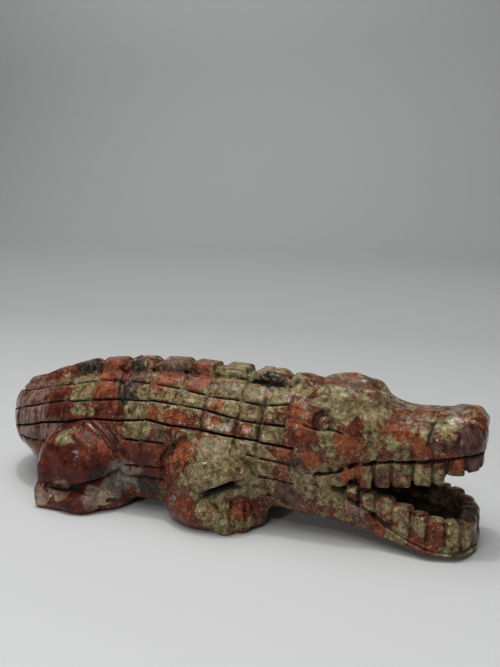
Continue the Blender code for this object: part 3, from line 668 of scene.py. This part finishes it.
# Jasper: brick-red and khaki fragments of all sizes in one another, with charcoal, cream and grey patches,
# orange seams, and banded mauve stone at the tail, tumbled to a wet-looking gloss. The table says where
# each colour comes to the surface, as places and radii in millimetres; the maroon patches are darker red
# stone and, low on the thigh and hip, painted shade.
PATCHES = {
    "khaki": ((-68, -5, 38, 2.5), (-57.5, -20.5, 24, 4.6), (-57.8, -9.7, 38, 3.6), (-56.4, -12.2, 34, 5.0),
              (-34, -14, 35, 2.4), (-33, -17, 29, 4.0), (-33, -11, 39, 2.5), (-14, -12, 39, 2.5),
              (-10, -2, 47, 1.5), (-5, -24, 8, 5.0), (-3, -16, 31, 2.0), (-3, -4, 48, 4.0),
              (-2, -23, 21, 6.0), (1, -6, 42, 6.0), (4, -12, 38, 3.0), (6, -18, 16, 3.5), (7, -4, 48, 4.5),
              (9, -16, 24, 3.5), (11, -8, 43, 4.5), (14, -16, 32, 2.5), (19, -4, 47, 2.5),
              (23, -16, 18, 2.0), (29, -16, 33, 2.5), (31, -15, 15, 3.5), (33, -13, 40, 4.0),
              (33, -11, 45, 2.5), (41, -11, 41, 3.5), (42, -13, 22, 2.0), (43, -13, 36, 2.5),
              (51, -16, 5, 2.5), (51, -14, 12, 2.0), (57, -16, 10, 1.5), (58, -11, 23, 2.0),
              (61, -11, 38, 2.5), (67, -14, 9, 2.0), (68, -14, 3, 4.0)),
    "red": ((-66, -10, 35, 2.5), (-65, -13, 30, 4.0), (-52, -23, 18, 13), (-50, -26, 5, 4.5),
            (-45, -17, 27, 4.0), (-45, -14, 33, 4.0), (-31, -18, 22, 6.0), (-19, -20, 13, 3.5),
            (-10, -24, 4, 4.0), (-3, -4, 48, 1.5), (6, -18, 8, 2.5), (13, -1, 45, 1.5), (22, -16, 31, 2.0),
            (22, -4, 47, 1.5), (26, -15, 37, 2.0), (27, 1, 46, 3.0), (38, -14, 36, 2.0), (62, -16, 5, 2.5),
            (67, -15, 5, 2.0)),
    "dark": ((-56, -23, 12.5, 1.2), (-42, -21.5, 16.5, 2.6), (-58, -4, 45, 3.5), (-54, -26, 3, 1.5),
             (-45, -22, 15, 2.5), (-43, -7, 41, 1.5), (-41, -19, 5, 1.5), (-37.4, -12.6, 38, 3.0),
             (-39.4, -10, 41, 2.2), (-38, -4, 47, 2.5), (-29, -17, 10, 4.5), (10.2, -4.4, 46.9, 3.0),
             (8.4, -4.4, 45.8, 2.2), (20, -16, 24, 1.5), (24, -16, 30, 1.0), (38, -7, 46, 1.5),
             (49, 0, 41, 1.5)),
    "orange": ((36.9, -15, 22.3, 3.2), (-60, -24, 7, 1.0), (-50, -6, 42, 2.5), (-48, -10, 39, 2.5),
               (-47, -4, 47, 3.0), (-46, -22, 6, 1.0), (-44, -19, 21, 2.5), (-42, -19, 10, 1.0),
               (-38, -15, 5, 1.5), (-33, -17, 10, 1.5), (-33, -3, 46, 1.5), (-27, -15, 34, 2.5),
               (-26, -7, 43, 3.5), (-20, -15, 34, 3.0), (-16, -19, 25, 3.0), (-15, -7, 43, 3.0),
               (-14, -4, 48, 3.0), (-13, -22, 23, 2.0), (-6, -15, 34, 2.0), (-5, -12, 38, 2.0),
               (-5, -6, 43, 1.5), (4, -20, 7, 2.5), (4, -15, 33, 2.0), (18, -16, 27, 2.0),
               (20, -13, 40, 2.5), (21, -15, 36, 2.5), (25, -16, 26, 3.0), (36, -15, 31, 3.0),
               (37, -15, 22, 2.5), (38, -6, 46, 2.5), (45, -15, 6, 2.0), (50, -12, 36, 2.5),
               (53, -12, 23, 1.5), (55, -12, 33, 2.5), (56, -2, 40, 1.5), (67, -10, 27, 2.0),
               (68, -7, 40, 2.0)),
    "brown": ((-36, -7, 43, 3.0), (-24, -17, 28, 2.5), (-24, -4, 48, 4.0), (18, -15, 13, 4.0),
              (44, -4, 43, 3.0), (47, -13, 22, 2.5), (62, -13, 35, 2.0), (62, -11, 25, 2.0)),
    "grey": ((-39, -18, 12.5, 5.5), (-41, -21, 9, 4.5), (-35, -18, 14, 3.5), (-18, -21, 9, 1.5),
             (45, -14, 15, 1.0), (47, -14, 9, 1.0), (66, -2, 41, 2.0)),
    "cream": ((-65, -25, 5, 3.6), (-58, -24, 7.5, 3.0), (-63, -20, -1, 3), (-46, -23, 7, 3.6),
              (-42, -21, 6, 3.0), (-34, -18, 16, 1.5), (9, -8, 42, 1.0)),
    # Maroon: darker red stone, with painted shade on the low thigh and hip
    "maroon_and_shade": ((70, -10, 35, 5), (72, -8, 28, 4), (-52, -24, 10, 8), (-66, -12, 30, 5), (-60, -15, 27, 4),
               (-30, -18, 17, 5), (-62, -20, 12, 8), (-44, -20, 16, 4), (-56, -24, 18, 6)),
    "mauve": ((-83, -3, 32, 6.0), (-78, -9, 28, 8.0), (-68, -14, 23, 4.5), (-88, 14, 18, 12),
              (38, -15, 10, 3.0), (70, -10, 35, 4.0), (72, -8, 28, 2.5)),
}
# The far side takes the near side's patches, shifted a little so that it isn't a mirror image
far_side = points[:, 1] > 2
near = np.column_stack((points[:, 0] + 6 * far_side, -np.abs(points[:, 1]), points[:, 2] - 3 * far_side))
near += np.column_stack([0.8 * uneven(points, 9, 20 + i) + 0.5 * uneven(points, 4, 30 + i)
                         for i in range(3)])
field = {}
for label, spots in PATCHES.items():
    away = np.full(len(near), 9.0)
    for x, y, z, size in spots:
        away = np.minimum(away, np.linalg.norm(near - (x, y, z), axis=1) / size)
    field[label] = np.clip(1.15 - away, -1, 1)
pale = field.pop("khaki")
reddish = np.clip(field.pop("red") + 1, 0, 2) * (1 - np.clip(pale, 0, 1))
field["lean"] = np.clip(pale + 1, 0, 2) - reddish
field["lean"] -= 0.5 * np.clip((-36 - points[:, 0]) / 6, 0, 1)
for label, amount in field.items():
    finished.attributes.new(label, "FLOAT", "POINT").data.foreach_set("value", amount)

low, high = points.min(0), points.max(0)
cad_low, cad_high = (np.array(corner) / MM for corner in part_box("crocodile"))
points += (cad_low + cad_high - low - high) / 2 * (1, 1, 0)
points = np.clip(points, cad_low, cad_high)
finished.vertices.foreach_set("co", (points * MM).ravel())
finished.shade_smooth()
finished.update()
finished.materials.clear()
finished.materials.append(jasper)

jasper.use_nodes = True
shader = jasper.node_tree.nodes["Principled BSDF"]


def node(tree, kind, inputs=(), **settings):
    """One node with its settings and inputs, each input a value or a socket to join."""
    made = tree.nodes.new(kind)
    for key, value in settings.items():
        setattr(made, key, value)
    for key, value in dict(inputs).items():
        if isinstance(value, bpy.types.NodeSocket):
            tree.links.new(value, made.inputs[key])
        else:
            made.inputs[key].default_value = value
    return made


def sum_of(tree, *terms):
    """Sum of (value, factor) pairs."""
    total = 0.0
    for value, factor in terms:
        total = node(tree, "ShaderNodeMath", {0: value, 1: factor, 2: total},
                     operation="MULTIPLY_ADD").outputs[0]
    return total


def broken_edge():
    """Node group that turns a soft amount into a patch with a crisp, broken outline."""
    tree = bpy.data.node_groups.new("broken edge", "ShaderNodeTree")
    for label, kind, value in (("Vector", "Vector", None), ("Amount", "Float", 0), ("Scale", "Float", 0.3),
                               ("Break-up", "Float", 1.5), ("Softness", "Float", 0.1)):
        made = tree.interface.new_socket(label, in_out="INPUT", socket_type="NodeSocket" + kind)
        if value is not None:
            made.default_value = value
    tree.interface.new_socket("Mask", in_out="OUTPUT", socket_type="NodeSocketFloat")
    given = tree.nodes.new("NodeGroupInput").outputs
    cloud = node(tree, "ShaderNodeTexNoise", {"Vector": given["Vector"], "Scale": given["Scale"],
                                              "Detail": 5, "Roughness": 0.56, "Distortion": 0.7})
    level = node(tree, "ShaderNodeMath", {0: cloud.outputs[0], 1: 0.5}, operation="SUBTRACT")
    level = node(tree, "ShaderNodeMath", {0: level.outputs[0], 1: given["Break-up"], 2: given["Amount"]},
                 operation="MULTIPLY_ADD")
    low_end = node(tree, "ShaderNodeMath", {0: given["Softness"], 1: -1}, operation="MULTIPLY")
    mask = node(tree, "ShaderNodeMapRange",
                {0: level.outputs[0], 1: low_end.outputs[0], 2: given["Softness"]},
                interpolation_type="SMOOTHSTEP")
    tree.links.new(mask.outputs[0], tree.nodes.new("NodeGroupOutput").inputs[0])
    return tree


edge_tree = broken_edge()
stone_nodes = jasper.node_tree


def patch(where, amount, scale, breakup, softness):
    """Mask of a patch of stone with a broken edge."""
    made = node(stone_nodes, "ShaderNodeGroup", node_tree=edge_tree)
    for key, value in (("Vector", where), ("Amount", amount), ("Scale", scale), ("Break-up", breakup),
                       ("Softness", softness)):
        if isinstance(value, bpy.types.NodeSocket):
            stone_nodes.links.new(value, made.inputs[key])
        else:
            made.inputs[key].default_value = value
    return made.outputs[0]


def product(one, two):
    """Product of two values or sockets."""
    return node(stone_nodes, "ShaderNodeMath", {0: one, 1: two}, operation="MULTIPLY").outputs[0]


def blend(mask, one, two):
    """Colour two laid over colour one where the mask is white."""
    mixed = node(stone_nodes, "ShaderNodeMix", {0: mask}, data_type="RGBA")
    for slot, value in ((6, one), (7, two)):
        if isinstance(value, bpy.types.NodeSocket):
            stone_nodes.links.new(value, mixed.inputs[slot])
        else:
            mixed.inputs[slot].default_value = (*value, 1)
    return mixed.outputs[2]


def shades(where, scale, stops, detail=6, roughness=0.65, distortion=0.0):
    """Stone mottled through a ramp of (position, colour)."""
    cloud = node(stone_nodes, "ShaderNodeTexNoise", {"Vector": where, "Scale": scale, "Detail": detail,
                                                     "Roughness": roughness, "Distortion": distortion})
    ramp = stone_nodes.nodes.new("ShaderNodeValToRGB")
    stone_nodes.links.new(cloud.outputs[0], ramp.inputs[0])
    while len(ramp.color_ramp.elements) < len(stops):
        ramp.color_ramp.elements.new(0.5)
    for element, (position, colour) in zip(ramp.color_ramp.elements, stops):
        element.position, element.color = position, (*colour, 1)
    return ramp.outputs[0]


place = node(stone_nodes, "ShaderNodeTexCoord").outputs["Object"]
place = node(stone_nodes, "ShaderNodeVectorMath", {0: place, 3: 1 / MM}, operation="SCALE").outputs[0]
drift = node(stone_nodes, "ShaderNodeTexNoise", {"Vector": place, "Scale": 0.16, "Detail": 3})
warped = node(stone_nodes, "ShaderNodeVectorMath", {0: drift.outputs[1], 1: (3.5, 3.5, 3.5), 2: place},
              operation="MULTIPLY_ADD").outputs[0]
amount = {label: node(stone_nodes, "ShaderNodeAttribute", attribute_name=label).outputs["Fac"]
          for label in (*field, "cut")}

shards = node(stone_nodes, "ShaderNodeTexVoronoi", {"Vector": warped, "Scale": 0.22})
chance = node(stone_nodes, "ShaderNodeSeparateColor", {0: shards.outputs["Color"]}).outputs[0]
lean = sum_of(stone_nodes, (amount["lean"], 0.55), (chance, 0.7), (1.0, -0.42))
red = shades(warped, 0.42, ((0.30, (0.042, 0.012, 0.009)), (0.44, (0.112, 0.024, 0.015)),
                            (0.56, (0.165, 0.037, 0.019)), (0.72, (0.27, 0.085, 0.040))))
khaki = shades(warped, 0.55, ((0.30, (0.060, 0.042, 0.022)), (0.42, (0.155, 0.122, 0.060)),
                              (0.54, (0.290, 0.240, 0.112)), (0.68, (0.48, 0.43, 0.26))), roughness=0.72)
pale = patch(warped, lean, 0.38, 3.0, 0.11)
colour = blend(pale, red, khaki)
outside = node(stone_nodes, "ShaderNodeMath", {0: 1.0, 1: pale}, operation="SUBTRACT").outputs[0]
rim = product(product(outside, pale), 2.4)
colour = blend(rim, colour, (0.050, 0.026, 0.018))
brown = shades(warped, 0.6, ((0.3, (0.040, 0.022, 0.018)), (0.5, (0.110, 0.062, 0.042)),
                             (0.7, (0.19, 0.13, 0.08))))
colour = blend(patch(warped, amount["brown"], 0.45, 2.2, 0.12), colour, brown)
orange = shades(warped, 0.7, ((0.3, (0.14, 0.034, 0.018)), (0.5, (0.26, 0.058, 0.022)),
                              (0.7, (0.38, 0.14, 0.06))))
colour = blend(patch(warped, amount["orange"], 0.45, 2.4, 0.09), colour, orange)
bands = node(stone_nodes, "ShaderNodeVectorMath", {0: warped, 1: (0.45, 0.13, 0.08)},
             operation="MULTIPLY").outputs[0]
mauve = shades(bands, 1.0, ((0.34, (0.060, 0.025, 0.025)), (0.44, (0.150, 0.085, 0.080)),
                            (0.50, (0.30, 0.21, 0.16)), (0.55, (0.17, 0.040, 0.028)),
                            (0.64, (0.24, 0.17, 0.145))), detail=3)
colour = blend(patch(warped, amount["mauve"], 0.3, 1.4, 0.12), colour, mauve)
grey = shades(warped, 0.5, ((0.35, (0.115, 0.098, 0.090)), (0.6, (0.225, 0.205, 0.185))))
colour = blend(patch(warped, amount["grey"], 0.35, 1.6, 0.08), colour, grey)
cream = shades(warped, 0.6, ((0.35, (0.28, 0.17, 0.11)), (0.6, (0.44, 0.34, 0.235))))
colour = blend(patch(warped, amount["cream"], 0.35, 1.6, 0.08), colour, cream)
dark = shades(warped, 0.5, ((0.35, (0.010, 0.010, 0.010)), (0.7, (0.055, 0.048, 0.038))))
colour = blend(patch(warped, amount["dark"], 0.4, 1.8, 0.10), colour, dark)

from_seam = node(stone_nodes, "ShaderNodeTexVoronoi", {"Vector": warped, "Scale": 0.2},
                 feature="DISTANCE_TO_EDGE").outputs[0]
seam = node(stone_nodes, "ShaderNodeMapRange", {0: from_seam, 1: 0.035, 2: 0.012}).outputs[0]
in_places = patch(place, -0.14, 0.12, 2.5, 0.15)
colour = blend(product(seam, in_places), colour,
               shades(place, 0.2, ((0.45, (0.035, 0.018, 0.014)), (0.52, (0.34, 0.06, 0.025)))))
sparse = sum_of(stone_nodes, (amount["maroon_and_shade"], -0.12), (1.0, -0.37))
for cloudy, scale, fleck in ((warped, 1.0, (0.27, 0.21, 0.115)), (place, 0.8, (0.150, 0.040, 0.020)),
                             (warped, 0.6, (0.055, 0.036, 0.026))):
    colour = blend(product(patch(cloudy, sparse, scale, 2.8, 0.12), 0.65), colour, fleck)
# Darker maroon over the maroon patches: partly the stone's colour, partly painted shade low on the thigh
# and hip
maroon_and_shade_mask = product(patch(warped, amount["maroon_and_shade"], 0.3, 0.8, 0.5), 0.6)
colour = blend(maroon_and_shade_mask, colour, (0.045, 0.009, 0.009))
smoke = shades(warped, 0.33, ((0.34, (0.30, 0.26, 0.24)), (0.46, (0.78, 0.76, 0.74)),
                              (0.60, (1.08, 1.08, 1.08))))
colour = node(stone_nodes, "ShaderNodeMix", {0: 1.0, 6: colour, 7: smoke}, data_type="RGBA",
              blend_type="MULTIPLY").outputs[2]
specks = patch(place, -0.42, 1.5, 2.6, 0.08)
colour = blend(specks, colour, (0.022, 0.017, 0.013))
# Near-black and rougher where the cut attribute is high: painted shade in the cuts, gaps, folds and mouth,
# with some grime in the narrow cuts
shade_and_grime = node(stone_nodes, "ShaderNodeMapRange", {0: amount["cut"], 1: 0.25, 2: 0.9}).outputs[0]
colour = blend(shade_and_grime, colour, (0.010, 0.008, 0.007))
stone_nodes.links.new(colour, shader.inputs["Base Color"])

smears = node(stone_nodes, "ShaderNodeTexNoise", {"Vector": place, "Scale": 0.35, "Detail": 4})
rough_by = sum_of(stone_nodes, (smears.outputs[0], 0.16), (shade_and_grime, 0.4), (1.0, 0.04))
stone_nodes.links.new(rough_by, shader.inputs["Roughness"])
shader.inputs["IOR"].default_value = 1.54
shader.inputs["Specular IOR Level"].default_value = 0.13
ripple = node(stone_nodes, "ShaderNodeTexNoise", {"Vector": place, "Scale": 0.9, "Detail": 3,
                                                  "Roughness": 0.6})
relief = node(stone_nodes, "ShaderNodeBump", {"Height": ripple.outputs[0], "Strength": 0.35,
                                              "Distance": 0.22 * MM})
stone_nodes.links.new(relief.outputs[0], shader.inputs["Normal"])

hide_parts("crocodile")
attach(stone, "root")

# Tabletop, light and camera: a pale paper sweep under one large soft lamp, with small lamps for the sharp
# glints on the polish and one that lights the paper behind.
PAPER_HALF, PAPER_FLAT, PAPER_BEND, PAPER_TOP = 1.5, 1.2, 0.5, 2.0
# Tone of the paper from its front to its back, painted light falloff: lightest at the front, darkest part
# way back, a little lighter again up the sweep
PAPER_FALLOFF_TONES = ((0, 0.60), (0.06, 0.545), (0.35, 0.385), (1, 0.50))
floor = bpy.data.meshes.new("table")
sweep = bmesh.new()
across_paper = []
for k in range(25):
    t = k / 24
    turn = max(t - 0.6, 0) / 0.4 * math.pi / 2
    back = PAPER_FLAT * (2 * min(t / 0.6, 1) - 1) + PAPER_BEND * math.sin(turn)
    across_paper.append([sweep.verts.new((x, back, PAPER_BEND * (1 - math.cos(turn))))
                         for x in (-PAPER_HALF, PAPER_HALF)])
across_paper.append([sweep.verts.new((x, PAPER_FLAT + PAPER_BEND, PAPER_TOP))
                     for x in (-PAPER_HALF, PAPER_HALF)])
for one, two in zip(across_paper, across_paper[1:]):
    sweep.faces.new((one[0], one[1], two[1], two[0]))
sweep.to_mesh(floor)
sweep.free()
floor.shade_smooth()
table = bpy.data.objects.new("table", floor)
bpy.context.scene.collection.objects.link(table)
paper = bpy.data.materials.new("pale paper")
paper.use_nodes = True
sheet = paper.node_tree.nodes["Principled BSDF"]
spread = node(paper.node_tree, "ShaderNodeTexCoord").outputs["Object"]
spread = node(paper.node_tree, "ShaderNodeSeparateXYZ", {0: spread}).outputs["Y"]
spread = node(paper.node_tree, "ShaderNodeMapRange", {0: spread, 1: -0.15, 2: 1.2}).outputs[0]
tone = node(paper.node_tree, "ShaderNodeValToRGB", {0: spread})
for position, _ in PAPER_FALLOFF_TONES[1:-1]:
    tone.color_ramp.elements.new(position)
for element, (position, value) in zip(tone.color_ramp.elements, PAPER_FALLOFF_TONES):
    element.position, element.color = position, (0.99 * value, value, 0.995 * value, 1)
paper.node_tree.links.new(tone.outputs[0], sheet.inputs["Base Color"])
sheet.inputs["Roughness"].default_value = 0.7
floor.materials.append(paper)

world = bpy.data.worlds.new("room")
bpy.context.scene.world = world
world.use_nodes = True
world.node_tree.nodes["Background"].inputs["Color"].default_value = (0.80, 0.83, 0.84, 1)
world.node_tree.nodes["Background"].inputs["Strength"].default_value = 0.14


def lamp(name, place, target, size, power):
    """Soft square lamp at a place in metres, aimed at a target."""
    light = bpy.data.lights.new(name, "AREA")
    light.size, light.energy = size, power
    made = bpy.data.objects.new(name, light)
    made.location = place
    made.rotation_euler = (Vector(target) - Vector(place)).to_track_quat("-Z", "Y").to_euler()
    bpy.context.scene.collection.objects.link(made)


lamp("ceiling", (-0.1, -0.1, 1.1), (0, 0, 0), 1.0, 10.3)
lamp("glint", (-0.05, 0.0, 0.8), (0, 0, 0), 0.05, 1.5)
lamp("window", (-0.28, -0.9, 0.36), (0, 0, 0.02), 0.06, 1.5)
lamp("bulb", (0.12, -0.65, 0.75), (0, 0, 0), 0.05, 0.7)
lamp("wall", (-0.85, 0.7, 1.5), (-1.0, 1.7, 0.7), 1.0, 9.5)

lens = bpy.data.cameras.new("camera")
lens.sensor_width, lens.lens = 36, 37.78
lens.clip_start = 0.01
camera = bpy.data.objects.new("camera", lens)
camera.location = (0.08849, -0.21438, 0.10037)
camera.rotation_euler = Vector((-0.3362, 0.9238, -0.1831)).to_track_quat("-Z", "Y").to_euler()
bpy.context.scene.collection.objects.link(camera)
bpy.context.scene.camera = camera
bpy.context.scene.view_settings.view_transform = "Standard"
